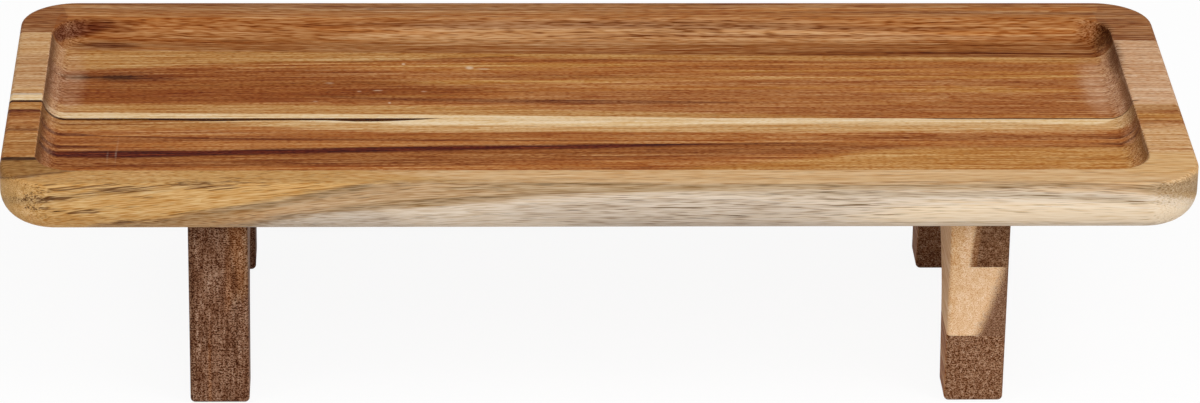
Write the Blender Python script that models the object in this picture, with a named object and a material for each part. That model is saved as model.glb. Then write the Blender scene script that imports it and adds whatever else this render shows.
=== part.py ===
"""Footed breakfast tray.

A serving deck glued up from four staves, with a coved recess routed into its top, stands on two arched
legs. Each leg is a panel of three glued laminations, and fluted dowels hold it to the deck's underside.
The frame: metres, +X along the deck, -Y towards the front, +Z up, origin on the table under the centre.
"""
import math

import bmesh
import bpy
from mathutils import Vector

# Deck
DECK_LENGTH = 0.500
DECK_DEPTH = 0.200
DECK_THICKNESS = 0.0235
DECK_CORNER_RADIUS = 0.024
TOP_ROUND = 0.002
BOTTOM_FILLET = 0.012

# Recess, routed a little towards the left front
RIM_WIDTH = 0.017
RECESS_OFFSET_X = -0.0027
RECESS_OFFSET_Y = -0.0020
RECESS_DEPTH = 0.0085
RECESS_CORNER_RADIUS = 0.017
COVE_RADIUS = 0.0095
RECESS_DRAFT = math.radians(15)

# Staves: widths of the outer two and the place of the middle glue line, at the left and right ends
FRONT_STAVE_WIDTH_LEFT = 0.0281
FRONT_STAVE_WIDTH_RIGHT = 0.0320
REAR_STAVE_WIDTH_LEFT = 0.0353
REAR_STAVE_WIDTH_RIGHT = 0.0455
MIDDLE_LINE_LEFT = -0.0111
MIDDLE_LINE_RIGHT = -0.0120

# Legs
LEG_INSET = 0.090
LEG_SETBACK = 0.022
LEG_THICKNESS = 0.025
LEG_HEIGHT = 0.0875
LEG_ARRIS = 0.002
FOOT_LENGTH = 0.022
FOOT_LAMINATION = 0.031
POST_LAMINATION = 0.032
CROWN_THICKNESS = 0.014
ARCH_DRAFT = math.radians(10.5)

# Dowels
DOWEL_RADIUS = 0.004
DOWEL_IN_DECK = 0.010
DOWEL_IN_LEG = 0.020
DOWEL_INSET = 0.030
DOWEL_CHAMFER = 0.001
FLUTE_DEPTH = 0.0003
FLUTE_COUNT = 12

# Clearances: a glue line, the fit of a dowel in its hole, the glue room past a dowel's end
GLUE_LINE = 0.0003
DOWEL_FIT = 0.0003
DOWEL_END_ROOM = 0.0006

# How far a cutter runs past what it cuts, and how fine the round stretches are
CUT_PAST = 0.010
CORNER_STEPS = 10
FILLET_STEPS = 8
ROUND_STEPS = 2
ARCH_STEPS = 20
HOLE_SIDES = 24

DECK_BOTTOM = LEG_HEIGHT + GLUE_LINE
DECK_TOP = DECK_BOTTOM + DECK_THICKNESS
LEG_DEPTH = DECK_DEPTH - 2 * LEG_SETBACK
LEG_PLACES = {"left": LEG_INSET - DECK_LENGTH / 2, "right": DECK_LENGTH / 2 - LEG_INSET}
DOWEL_PLACES = {"front": DOWEL_INSET - LEG_DEPTH / 2, "rear": LEG_DEPTH / 2 - DOWEL_INSET}

# Oiled acacia, board by board, and pale beech for the dowels
COLOURS = {
    "rear_stave": "#8F5E37",
    "middle_rear_stave": "#B07C47",
    "middle_front_stave": "#A8683A",
    "front_stave": "#B98A55",
    "left_leg_top_rail": "#6F4B35",
    "left_leg_post": "#76513A",
    "left_leg_foot": "#74513B",
    "right_leg_top_rail": "#9A7450",
    "right_leg_post": "#CBA47C",
    "right_leg_foot": "#7F5A42",
    "dowel": "#D2B48C",
}
WOOD_ROUGHNESS = 0.45


def clear_scene():
    for obj in list(bpy.data.objects):
        bpy.data.objects.remove(obj, do_unlink=True)


def linear(hex_colour):
    """Turns an sRGB hex colour into linear red, green, blue and alpha."""
    channels = [int(hex_colour[i:i + 2], 16) / 255 for i in (1, 3, 5)]
    return [c / 12.92 if c <= 0.04045 else ((c + 0.055) / 1.055) ** 2.4 for c in channels] + [1.0]


def wood_material(name, hex_colour):
    material = bpy.data.materials.new(name)
    material.use_nodes = True
    shader = material.node_tree.nodes["Principled BSDF"]
    shader.inputs["Base Color"].default_value = linear(hex_colour)
    shader.inputs["Roughness"].default_value = WOOD_ROUGHNESS
    shader.inputs["Metallic"].default_value = 0.0
    return material


def add_piece(name, mesh, colour_name, parent=None):
    """Adds one named sub-part, with its own copy of the mesh and its own material."""
    own_mesh = mesh.copy()
    own_mesh.name = name
    own_mesh.materials.append(wood_material(name, COLOURS[colour_name]))
    piece = bpy.data.objects.new(name, own_mesh)
    piece.parent = parent
    bpy.context.scene.collection.objects.link(piece)
    return piece


def add_cutter(name, mesh, parent=None, location=(0, 0, 0)):
    cutter = bpy.data.objects.new(name, mesh)
    cutter.parent = parent
    cutter.location = location
    cutter.hide_render = True
    cutter.display_type = "WIRE"
    bpy.context.scene.collection.objects.link(cutter)
    return cutter


def boolean(piece, cutter, operation):
    modifier = piece.modifiers.new(cutter.name, "BOOLEAN")
    modifier.operation = operation
    modifier.solver = "EXACT"
    modifier.object = cutter


def finished_mesh(name, bm):
    bmesh.ops.recalc_face_normals(bm, faces=bm.faces)
    mesh = bpy.data.meshes.new(name)
    bm.to_mesh(mesh)
    bm.free()
    mesh.shade_smooth()
    mesh.set_sharp_from_angle(angle=math.radians(30))
    return mesh


def loft(name, rings):
    """Closed mesh skinned over rings of equal point counts, with a cap on the first and the last."""
    bm = bmesh.new()
    loops = [[bm.verts.new(point) for point in ring] for ring in rings]
    count = len(loops[0])
    for lower, upper in zip(loops, loops[1:]):
        for i in range(count):
            j = (i + 1) % count
            bm.faces.new((lower[i], lower[j], upper[j], upper[i]))
    bm.faces.new(loops[0])
    bm.faces.new(loops[-1])
    return finished_mesh(name, bm)


def box(name, low, high):
    corners = ((low[0], low[1]), (high[0], low[1]), (high[0], high[1]), (low[0], high[1]))
    return loft(name, [[Vector((x, y, z)) for x, y in corners] for z in (low[2], high[2])])


def rounded_rectangle(length, depth, radius, z, centre=(0.0, 0.0)):
    """Ring of a rectangle with quarter-circle corners, counter-clockwise from the right side."""
    ring = []
    for quarter, (sx, sy) in enumerate(((1, 1), (-1, 1), (-1, -1), (1, -1))):
        cx = centre[0] + sx * (length / 2 - radius)
        cy = centre[1] + sy * (depth / 2 - radius)
        for step in range(CORNER_STEPS + 1):
            angle = math.pi / 2 * (quarter + step / CORNER_STEPS)
            ring.append(Vector((cx + radius * math.cos(angle), cy + radius * math.sin(angle), z)))
    return ring


def deck_blank():
    """The deck before routing and ripping: a fillet round the bottom edge, a small round on the top one."""
    fillet = min(BOTTOM_FILLET, DECK_CORNER_RADIUS - TOP_ROUND, DECK_THICKNESS - 2 * TOP_ROUND)
    profile = []
    for step in range(FILLET_STEPS + 1):
        angle = math.pi / 2 * step / FILLET_STEPS
        profile.append((fillet * (1 - math.sin(angle)), DECK_BOTTOM + fillet * (1 - math.cos(angle))))
    for step in range(ROUND_STEPS + 1):
        angle = math.pi / 2 * step / ROUND_STEPS
        profile.append((TOP_ROUND * (1 - math.cos(angle)), DECK_TOP - TOP_ROUND * (1 - math.sin(angle))))
    rings = []
    for inset, z in profile:
        rings.append(rounded_rectangle(DECK_LENGTH - 2 * inset, DECK_DEPTH - 2 * inset,
                                       DECK_CORNER_RADIUS - inset, z))
    return loft("deck_blank", rings)


def recess_cutter():
    """The routed recess: a flat floor that turns up in a cove to a wall that leans out to the rim."""
    floor_z = DECK_TOP - RECESS_DEPTH
    steepest = math.pi / 2 - RECESS_DRAFT
    tallest_cove = (RECESS_DEPTH - GLUE_LINE) / (1 - math.cos(steepest))
    cove = min(COVE_RADIUS, tallest_cove, RECESS_CORNER_RADIUS - TOP_ROUND)
    cove_top = floor_z + cove * (1 - math.cos(steepest))
    cove_inset = (DECK_TOP - cove_top) * math.tan(RECESS_DRAFT)
    profile = []
    for step in range(FILLET_STEPS + 1):
        angle = steepest * step / FILLET_STEPS
        profile.append((cove_inset + cove * (math.sin(steepest) - math.sin(angle)),
                        floor_z + cove * (1 - math.cos(angle))))
    profile.append((-CUT_PAST * math.tan(RECESS_DRAFT), DECK_TOP + CUT_PAST))
    length = DECK_LENGTH - 2 * RIM_WIDTH
    depth = DECK_DEPTH - 2 * RIM_WIDTH
    centre = (RECESS_OFFSET_X, RECESS_OFFSET_Y)
    rings = []
    for inset, z in profile:
        rings.append(rounded_rectangle(length - 2 * inset, depth - 2 * inset,
                                       RECESS_CORNER_RADIUS - inset, z, centre))
    return loft("recess_cutter", rings)


def glue_lines():
    """The places in Y of the glue lines at the deck's left and right ends, front to rear, with both edges."""
    front = -DECK_DEPTH / 2
    rear = DECK_DEPTH / 2
    return [
        (front - CUT_PAST, front - CUT_PAST),
        (front + FRONT_STAVE_WIDTH_LEFT, front + FRONT_STAVE_WIDTH_RIGHT),
        (MIDDLE_LINE_LEFT, MIDDLE_LINE_RIGHT),
        (rear - REAR_STAVE_WIDTH_LEFT, rear - REAR_STAVE_WIDTH_RIGHT),
        (rear + CUT_PAST, rear + CUT_PAST),
    ]


def stave_slab(name, near_line, far_line):
    """The slab between two glue lines that rips one stave out of the deck."""
    half_line = GLUE_LINE / 2
    end_x = DECK_LENGTH / 2
    stretch = (end_x + CUT_PAST) / end_x

    def line_ends(line, side):
        middle = (line[0] + line[1]) / 2
        slant = (line[1] - line[0]) / 2 * stretch
        return middle - slant + side * half_line, middle + slant + side * half_line

    near_left, near_right = line_ends(near_line, 1)
    far_left, far_right = line_ends(far_line, -1)
    left = -end_x * stretch
    right = end_x * stretch
    corners = ((left, near_left), (right, near_right), (right, far_right), (left, far_left))
    levels = (DECK_BOTTOM - CUT_PAST, DECK_TOP + CUT_PAST)
    return loft(name, [[Vector((x, y, z)) for x, y in corners] for z in levels])


def arch_outline():
    """The arch over the table, front to rear: drafted sides that run into one round crown."""
    half_span = LEG_DEPTH / 2 - FOOT_LENGTH
    rise = LEG_HEIGHT - CROWN_THICKNESS
    centre_z = (rise - half_span * math.cos(ARCH_DRAFT)) / (1 - math.sin(ARCH_DRAFT))
    radius = rise - centre_z
    points = [(-half_span, 0.0)]
    for step in range(ARCH_STEPS + 1):
        angle = math.pi - ARCH_DRAFT - (math.pi - 2 * ARCH_DRAFT) * step / ARCH_STEPS
        points.append((radius * math.cos(angle), centre_z + radius * math.sin(angle)))
    points.append((half_span, 0.0))
    return points


def leg_blank():
    """One leg panel before it is parted into its laminations, with softened edges below a square top."""
    half_depth = LEG_DEPTH / 2
    outline = [(-half_depth, LEG_HEIGHT), (-half_depth, 0.0)]
    outline += arch_outline()
    outline += [(half_depth, 0.0), (half_depth, LEG_HEIGHT)]
    bm = bmesh.new()
    face = bm.faces.new([bm.verts.new((-LEG_THICKNESS / 2, y, z)) for y, z in outline])
    extruded = bmesh.ops.extrude_face_region(bm, geom=[face])
    moved = [item for item in extruded["geom"] if isinstance(item, bmesh.types.BMVert)]
    bmesh.ops.translate(bm, verts=moved, vec=(LEG_THICKNESS, 0, 0))
    bmesh.ops.recalc_face_normals(bm, faces=bm.faces)
    corner = math.radians(60)
    top = LEG_HEIGHT - LEG_ARRIS
    soft = [edge for edge in bm.edges if edge.calc_face_angle() > corner
            and min(vert.co.z for vert in edge.verts) < top]
    bmesh.ops.bevel(bm, geom=soft, offset=LEG_ARRIS, offset_type="OFFSET", segments=ROUND_STEPS,
                    profile=0.5, affect="EDGES", clamp_overlap=True)
    return finished_mesh("leg_blank", bm)


def leg_boxes():
    """The blocks that part a leg into its laminations, by piece: the low and high corner of each."""
    half_line = GLUE_LINE / 2
    side = LEG_THICKNESS / 2 + CUT_PAST
    end = LEG_DEPTH / 2 + CUT_PAST
    foot_top = FOOT_LAMINATION
    post_top = FOOT_LAMINATION + POST_LAMINATION
    levels = {
        "foot": (-CUT_PAST, foot_top - half_line),
        "post": (foot_top + half_line, post_top - half_line),
    }
    boxes = {"top_rail": ((-side, -end, post_top + half_line), (side, end, LEG_HEIGHT + CUT_PAST))}
    for lamination, (low, high) in levels.items():
        boxes["front_" + lamination] = ((-side, -end, low), (side, -half_line, high))
        boxes["rear_" + lamination] = ((-side, half_line, low), (side, end, high))
    return boxes


def dowel_hole():
    radius = DOWEL_RADIUS + DOWEL_FIT
    levels = (LEG_HEIGHT - DOWEL_IN_LEG - DOWEL_END_ROOM, DECK_BOTTOM + DOWEL_IN_DECK + DOWEL_END_ROOM)
    turn = 2 * math.pi / HOLE_SIDES
    circle = [(radius * math.cos(i * turn), radius * math.sin(i * turn)) for i in range(HOLE_SIDES)]
    return loft("dowel_hole", [[Vector((x, y, z)) for x, y in circle] for z in levels])


def fluted_dowel():
    """A dowel pin with straight flutes for the glue and a chamfer at each end."""
    low = LEG_HEIGHT - DOWEL_IN_LEG
    high = DECK_BOTTOM + DOWEL_IN_DECK
    turn = math.pi / FLUTE_COUNT
    rings = []
    for shrink, z in ((DOWEL_CHAMFER, low), (0, low + DOWEL_CHAMFER), (0, high - DOWEL_CHAMFER),
                      (DOWEL_CHAMFER, high)):
        ring = []
        for i in range(2 * FLUTE_COUNT):
            radius = DOWEL_RADIUS - shrink - FLUTE_DEPTH * (i % 2)
            ring.append(Vector((radius * math.cos(i * turn), radius * math.sin(i * turn), z)))
        rings.append(ring)
    return loft("fluted_dowel", rings)


def build_deck(hole_cutters):
    blank = deck_blank()
    recess = add_cutter("recess_cutter", recess_cutter())
    lines = glue_lines()
    names = ("front_stave", "middle_front_stave", "middle_rear_stave", "rear_stave")
    for name, near_line, far_line in zip(names, lines, lines[1:]):
        stave = add_piece(name, blank, name)
        slab = add_cutter(name + "_slab", stave_slab(name + "_slab", near_line, far_line))
        boolean(stave, slab, "INTERSECT")
        boolean(stave, recess, "DIFFERENCE")
        for cutter in hole_cutters:
            boolean(stave, cutter, "DIFFERENCE")


def build_leg(side, x, blank, hole_cutters):
    leg = bpy.data.objects.new(side + "_leg", None)
    leg.location = (x, 0, 0)
    bpy.context.scene.collection.objects.link(leg)
    for part_name, (low, high) in leg_boxes().items():
        name = f"{side}_leg_{part_name}"
        colour = f"{side}_leg_{part_name.replace('front_', '').replace('rear_', '')}"
        piece = add_piece(name, blank, colour, leg)
        block = add_cutter(name + "_block", box(name + "_block", low, high), leg)
        boolean(piece, block, "INTERSECT")
        for cutter in hole_cutters:
            boolean(piece, cutter, "DIFFERENCE")


def build_tray():
    clear_scene()
    holes = {side: [] for side in LEG_PLACES}
    for side, x in LEG_PLACES.items():
        for end, y in DOWEL_PLACES.items():
            dowel = add_piece(f"{side}_{end}_dowel", fluted_dowel(), "dowel")
            dowel.location = (x, y, 0)
            holes[side].append(add_cutter(f"{side}_{end}_dowel_hole", dowel_hole(), location=(x, y, 0)))
    build_deck(holes["left"] + holes["right"])
    blank = leg_blank()
    for side, x in LEG_PLACES.items():
        build_leg(side, x, blank, holes[side])


build_tray()
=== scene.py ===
# %% [markdown]
# # A breakfast tray of oiled acacia
# The tray is a thick board, glued up from four acacia staves and hollowed out on top, on two
# arched legs that are glued up from thick laminations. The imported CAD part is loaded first: it
# is the fixed frame, and everything made below has to sit exactly where its solids sit.

# %% Load the frame
import collections
import math

import bmesh
import bpy
import numpy as np
from mathutils import Matrix, Vector


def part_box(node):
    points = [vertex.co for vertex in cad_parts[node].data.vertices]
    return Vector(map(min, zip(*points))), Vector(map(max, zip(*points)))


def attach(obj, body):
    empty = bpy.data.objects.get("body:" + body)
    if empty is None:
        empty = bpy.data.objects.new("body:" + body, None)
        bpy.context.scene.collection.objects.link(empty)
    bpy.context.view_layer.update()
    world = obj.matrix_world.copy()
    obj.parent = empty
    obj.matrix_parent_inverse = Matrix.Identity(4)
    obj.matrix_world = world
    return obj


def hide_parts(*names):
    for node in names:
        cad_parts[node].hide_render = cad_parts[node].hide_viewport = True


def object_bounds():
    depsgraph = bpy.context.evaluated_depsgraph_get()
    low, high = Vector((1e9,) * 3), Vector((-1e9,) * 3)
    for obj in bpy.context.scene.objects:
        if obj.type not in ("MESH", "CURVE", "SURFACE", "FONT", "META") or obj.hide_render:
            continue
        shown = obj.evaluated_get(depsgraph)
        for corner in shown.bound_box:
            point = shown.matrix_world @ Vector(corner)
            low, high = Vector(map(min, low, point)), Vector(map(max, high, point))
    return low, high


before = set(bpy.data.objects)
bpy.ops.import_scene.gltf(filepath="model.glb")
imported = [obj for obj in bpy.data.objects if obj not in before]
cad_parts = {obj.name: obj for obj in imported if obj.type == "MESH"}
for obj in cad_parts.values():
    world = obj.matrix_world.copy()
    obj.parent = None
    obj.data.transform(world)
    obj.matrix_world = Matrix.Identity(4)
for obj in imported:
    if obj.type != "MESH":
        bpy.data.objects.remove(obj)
cad_low, cad_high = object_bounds()
MM = 0.001
DECK_TOP = cad_high.z / MM
DECK_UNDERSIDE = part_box("front_stave")[0].z / MM
HALF_LENGTH = cad_high.x / MM
HALF_DEPTH = cad_high.y / MM
print(f"tray {2 * HALF_LENGTH:.1f} x {2 * HALF_DEPTH:.1f} x {DECK_TOP:.1f} mm,",
      len(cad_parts), "solids")

# %% [markdown]
# ## The board's shape
# On the real tray the board is one block: its staves are glued first, and the router then cuts
# the rounded corners and the recess through all of them at once. The same order works here. One
# cross profile (bottom fillet, wall, rounded edge, rim, cove, floor) is carried round a rounded
# rectangle, so that every row of the grid is one closed ring, and the block is ripped into staves
# afterwards. A box with bevels would not give the cove, which is a quarter circle in section.

# %% Rings round a rounded rectangle
CORNER_STEPS = 14
SIDE_STEPS = 40


def rounded_rings(half_x, half_y, radius, centre, height):
    """One closed ring of points for each entry of the arrays given.
    Corner q is the centre of its quarter circle plus radius times (cos, sin) of an angle that runs
    from q to q + 1 quarter turns; each straight side is shared out evenly between two corners."""
    angle = np.arange(4)[:, None] * np.pi / 2 + np.linspace(0, np.pi / 2, CORNER_STEPS + 1)
    sign_x = np.array([1, -1, -1, 1])[:, None]
    sign_y = np.array([1, 1, -1, -1])[:, None]
    half_x, half_y, radius = (value[:, None, None] for value in (half_x, half_y, radius))
    corner = np.stack([centre[:, None, None, 0] + sign_x * (half_x - radius) + radius * np.cos(angle),
                       centre[:, None, None, 1] + sign_y * (half_y - radius) + radius * np.sin(angle)], -1)
    share = (np.arange(SIDE_STEPS) + 1)[:, None] / (SIDE_STEPS + 1)
    start, end = corner[:, :, -1:, :], np.roll(corner[:, :, :1, :], -1, axis=1)
    ring = np.concatenate([corner, start + share * (end - start)], axis=2).reshape(len(height), -1, 2)
    return np.dstack([ring, np.broadcast_to(height[:, None], ring.shape[:2])])


def quads(rows, columns, closed):
    """Corner numbers of the faces between neighbouring rows and columns of a grid; a closed grid
    joins its last column to its first."""
    row = np.arange(rows - 1)[:, None]
    column = np.arange(columns if closed else columns - 1)[None, :]
    after = (column + 1) % columns
    faces = np.stack([row * columns + column, row * columns + after,
                      (row + 1) * columns + after, (row + 1) * columns + column], -1)
    return faces.reshape(-1, 4).tolist()


def quarter(steps):
    """Angles from 0 to a quarter turn."""
    return np.linspace(0, np.pi / 2, steps + 1)


print(f"a ring has {4 * (CORNER_STEPS + 1 + SIDE_STEPS)} points")

# %% [markdown]
# The profile is a list of rows. Each row says which outline it follows (the board's or the
# recess's), how far it is set in from that outline, and how high it lies. A row close beside each
# curve keeps the smooth shading of the curve from leaking across the flat rim and the flat floor.

# %% The board
CORNER_RADIUS, TOP_ROUND, BOTTOM_FILLET = 24.0, 2.0, 12.0
RIM_WIDTH, RECESS_SHIFT, RECESS_DEPTH, RECESS_CORNER = 17.0, (-2.7, -2.0), 8.5, 17.0
COVE_RADIUS, WALL_LEAN, RECESS_ARRIS = 9.5, math.radians(15), 1.0
SUPPORT = 0.5


def board_rows():
    """Rows (outline, inset, height) of the cross profile, from the underside over the rim to the floor.
    A fillet's inset is radius times (1 - sin) while its height climbs by radius times (1 - cos). The
    recess turns over its arris, follows the leaning wall and runs out in the cove: each of the two
    arcs spans a quarter turn less the wall's lean."""
    turn = quarter(10)
    swing = np.linspace(0, np.pi / 2 - WALL_LEAN, 13)
    steep = swing[-1]
    start = RECESS_ARRIS * math.tan(steep / 2)
    cove_height = COVE_RADIUS * (1 - math.cos(steep))
    cove_start = (RECESS_DEPTH - cove_height) * math.tan(WALL_LEAN)
    inset = np.concatenate([
        [BOTTOM_FILLET + SUPPORT], BOTTOM_FILLET * (1 - np.sin(turn)),
        TOP_ROUND * (1 - np.cos(turn[::2])), [TOP_ROUND + SUPPORT],
        [-start - SUPPORT], RECESS_ARRIS * np.sin(swing[::2]) - start,
        cove_start + COVE_RADIUS * (math.sin(steep) - np.sin(swing[::-1])),
        [cove_start + COVE_RADIUS * math.sin(steep) + SUPPORT]])
    height = np.concatenate([
        [DECK_UNDERSIDE], DECK_UNDERSIDE + BOTTOM_FILLET * (1 - np.cos(turn)),
        DECK_TOP - TOP_ROUND * (1 - np.sin(turn[::2])), [DECK_TOP],
        [DECK_TOP], DECK_TOP - RECESS_ARRIS * (1 - np.cos(swing[::2])),
        DECK_TOP - RECESS_DEPTH + COVE_RADIUS * (1 - np.cos(swing[::-1])), [DECK_TOP - RECESS_DEPTH]])
    in_recess = np.arange(len(inset)) >= 1 + len(turn) + len(turn[::2]) + 1
    return in_recess, inset, height


in_recess, inset, height = board_rows()
edge = np.where(in_recess, RIM_WIDTH, 0.0) + inset
board_points = rounded_rings(HALF_LENGTH - edge, HALF_DEPTH - edge,
                             np.where(in_recess, RECESS_CORNER, CORNER_RADIUS) - inset,
                             np.where(in_recess[:, None], RECESS_SHIFT, (0.0, 0.0)), height)
rows, columns = board_points.shape[:2]
board = bpy.data.meshes.new("glued_board")
board.from_pydata(board_points.reshape(-1, 3) * MM, [],
                  quads(rows, columns, True)
                  + [list(range(columns)), list(range((rows - 1) * columns, rows * columns))])
print(f"board: {rows} rings, {len(board.polygons)} faces")

# %% [markdown]
# ## Ripping the board into staves
# The joints between the staves run almost along the tray, and each is a plain sawn plane. Cutting
# the mesh with a plane and closing the cut with a face gives a solid stave with true edges, so the
# joint is a real one and not a line painted on. A hair of a gap stands for the glue.

# %% Staves
GLUE_GAP = 0.06
SMOOTH_ANGLE = math.radians(32)
pieces = {}


def saw(source, name, cuts):
    """The part of a mesh that lies behind every cut, as a closed piece of its own.
    A cut is a point on the saw's plane and the direction of the waste."""
    work = bmesh.new()
    work.from_mesh(source)
    for point, waste in cuts:
        bmesh.ops.bisect_plane(work, geom=work.verts[:] + work.edges[:] + work.faces[:],
                               plane_co=Vector(point) * MM, plane_no=waste, clear_outer=True)
        bmesh.ops.holes_fill(work, edges=[edge for edge in work.edges if edge.is_boundary], sides=0)
    bmesh.ops.recalc_face_normals(work, faces=work.faces[:])
    mesh = bpy.data.meshes.new(name)
    work.to_mesh(mesh)
    work.free()
    mesh.shade_smooth()
    mesh.set_sharp_from_angle(angle=SMOOTH_ANGLE)
    pieces[name] = bpy.data.objects.new(name, mesh)
    bpy.context.scene.collection.objects.link(pieces[name])
    return pieces[name]


def joint(left, right, side):
    """The plane through a joint that is at depth left and right at the two ends of the board, moved
    half a glue gap; side is +1 to throw away what lies behind the joint and -1 what lies before it."""
    across = Vector((left - right, 2 * HALF_LENGTH, 0)).normalized()
    return Vector((0, (left + right) / 2, 0)) - side * GLUE_GAP / 2 * across, side * across


# depths of the joints from the tray's middle, at its left and right end
FRONT_JOINT = (-71.9, -68.0)
MIDDLE_JOINT = (-11.1, -12.0)
REAR_JOINT = (64.7, 54.5)
saw(board, "front_stave_grained", [joint(*FRONT_JOINT, 1)])
saw(board, "middle_front_stave_grained", [joint(*FRONT_JOINT, -1), joint(*MIDDLE_JOINT, 1)])
saw(board, "middle_rear_stave_grained", [joint(*MIDDLE_JOINT, -1), joint(*REAR_JOINT, 1)])
saw(board, "rear_stave_grained", [joint(*REAR_JOINT, -1)])
print("staves:", {name: len(piece.data.polygons) for name, piece in pieces.items()})

# %% [markdown]
# ## The arched legs
# A leg is a thick upright board with an arch cut out of it, which leaves two feet and a bridge that
# is glued under the deck. Seen from the side its outline is a path of straight runs and arcs. The
# leg's thickness is a second profile: flat sides with rounded arrises. Carrying that profile along
# the path, each point pushed inwards along the path's normal, rounds every edge at once.

# %% Outline of a leg
LEG_HEIGHT, LEG_DEPTH, LEG_THICKNESS = 87.5, 156.0, 25.0
FOOT_LENGTH, CROWN, ARCH_DRAFT = 22.0, 14.0, math.radians(10.5)
LEG_ARRIS, FOOT_CORNER = 2.0, 2.4


def leg_path():
    """Points and inward normals of half of the outline, from the top front corner to the arch's crown.
    The arch is a circle that meets sides leaning by the draft, as high as the crown allows; each
    corner of the foot is an arc of its own, and a run between two arcs is shared out evenly."""
    half_span, rise = LEG_DEPTH / 2 - FOOT_LENGTH, LEG_HEIGHT - CROWN
    centre = (rise - half_span * math.cos(ARCH_DRAFT)) / (1 - math.sin(ARCH_DRAFT))
    radius = rise - centre
    lean = np.pi / 2 - ARCH_DRAFT
    toe = FOOT_CORNER / math.tan((np.pi - lean) / 2)
    arcs = [
        (-LEG_DEPTH / 2 + FOOT_CORNER, FOOT_CORNER, -FOOT_CORNER, np.pi, 1.5 * np.pi, 7),
        (-half_span - toe, FOOT_CORNER, -FOOT_CORNER, 1.5 * np.pi, 2 * np.pi - ARCH_DRAFT, 7),
        (0.0, centre, radius, np.pi - ARCH_DRAFT, np.pi / 2, 25)]
    run = np.linspace(0, 1, 9)[:, None]
    points, normals = [], []
    last, facing = np.array([[-LEG_DEPTH / 2, LEG_HEIGHT]]), np.array([[1.0, 0.0]])
    for y, z, signed, start, end, steps in arcs:
        angle = np.linspace(start, end, steps)
        outward = np.stack([np.cos(angle), np.sin(angle)], -1)
        arc = np.array([y, z]) + abs(signed) * outward
        points += [last + run[:-1] * (arc[:1] - last), arc]
        normals += [np.repeat(facing, len(run) - 1, axis=0), np.sign(signed) * outward]
        last, facing = arc[-1:], normals[-1][-1:]
        points[-1], normals[-1] = points[-1][:-1], normals[-1][:-1]
    return np.concatenate(points + [last]), np.concatenate(normals + [facing])


half_points, half_normals = leg_path()
MIRROR = np.array([-1.0, 1.0])
path_points = np.concatenate([half_points, half_points[-2::-1] * MIRROR])
path_normals = np.concatenate([half_normals, half_normals[-2::-1] * MIRROR])
print(f"leg outline: {len(path_points)} points, lowest {path_points[:, 1].min():.2f} mm")

# %% Legs and their laminations
LEG_CENTRE = 160.0
FOOT_JOINT, RAIL_JOINT = 31.0, 63.0
UP, BACK = Vector((0, 0, 1)), Vector((0, 1, 0))


def leg_mesh(name, centre):
    """The thickness profile carried along the outline. A point is the outline's point, moved inwards
    by radius times (1 - sin) where the profile turns over the arris; the two broad sides and the
    top are closed with one face each."""
    turn = quarter(5)
    across = np.concatenate([[-LEG_THICKNESS / 2], -LEG_THICKNESS / 2 + LEG_ARRIS * (1 - np.cos(turn))])
    inward = np.concatenate([[LEG_ARRIS + SUPPORT], LEG_ARRIS * (1 - np.sin(turn))])
    across, inward = np.concatenate([across, -across[::-1]]), np.concatenate([inward, inward[::-1]])
    outline = path_points[:, None, :] + inward[None, :, None] * path_normals[:, None, :]
    points = np.dstack([np.broadcast_to(centre + across, outline.shape[:2]), outline])
    rows, columns = points.shape[:2]
    numbers = np.arange(rows * columns).reshape(rows, columns)
    caps = [numbers[:, 0].tolist(), numbers[:, -1].tolist(),
            numbers[0].tolist() + numbers[-1, ::-1].tolist()]
    mesh = bpy.data.meshes.new(name)
    mesh.from_pydata(points.reshape(-1, 3) * MM, [], quads(rows, columns, False) + caps)
    return mesh


def level(height, waste):
    """A level saw cut, half a glue gap away from a joint at that height."""
    return Vector((0, 0, height)) - GLUE_GAP / 2 * waste, waste


for side, centre in (("left", -LEG_CENTRE), ("right", LEG_CENTRE)):
    leg = leg_mesh(side + "_leg", centre)
    saw(leg, side + "_leg_top_rail_grained", [level(RAIL_JOINT, -UP)])
    for end, behind in (("front", BACK), ("rear", -BACK)):
        halved = (Vector((0, 0, 0)), behind)
        saw(leg, f"{side}_leg_{end}_post_grained", [level(RAIL_JOINT, UP), level(FOOT_JOINT, -UP), halved])
        saw(leg, f"{side}_leg_{end}_foot_grained", [level(FOOT_JOINT, UP), halved])
print("laminations:", [name for name in pieces if "leg" in name])

# %% [markdown]
# ## Colours and nodes
# Acacia runs from cream sapwood through honey and red-brown heartwood to nearly purple streaks.
# Some thirty named tones are enough for the whole tray. They are written as sRGB hex values, the way
# a colour picker shows them, and one function turns them into the linear values that Blender needs.
# A node's inputs are named, or numbered where their names repeat: a Map Range takes in the range 1 to 2
# and gives out the range 3 to 4; a Mix has its share at 0, its numbers at 2 and 3, its colours at 6 and 7.

# %% Tones
TONES = {
    "ebony": "#2C0D00", "plum": "#4E1404", "mahogany": "#632D12", "umber": "#7C431A", "walnut": "#8D5226",
    "russet": "#9C5F30", "chestnut": "#AB6D37", "amber": "#B58042", "honey": "#B5834A", "gold": "#BF955D",
    "straw": "#CAA06B", "cream": "#E1C397", "ivory": "#E1CBAD", "ash": "#CBBAA6", "slate": "#A39384",
    "olive": "#988060", "bark": "#5E3D29", "cocoa": "#6F4B35", "clay": "#89603F", "chalk": "#D8BFA2",
    "beech": "#D6B18A", "biscuit": "#C99F70", "rose": "#C89F7A", "oat": "#CEA97E", "hazel": "#9E6A3D",
    # the darkest brown below serves for dark joints and end grain, and for painted shade in the recess
    "tan": "#B0916E", "moss": "#7E6749", "raw": "#C29774", "ochre": "#8A5E2E", "dark_wood_and_shade": "#3E1A00",
    "nut": "#7B553B", "auburn": "#854417",
}


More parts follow.
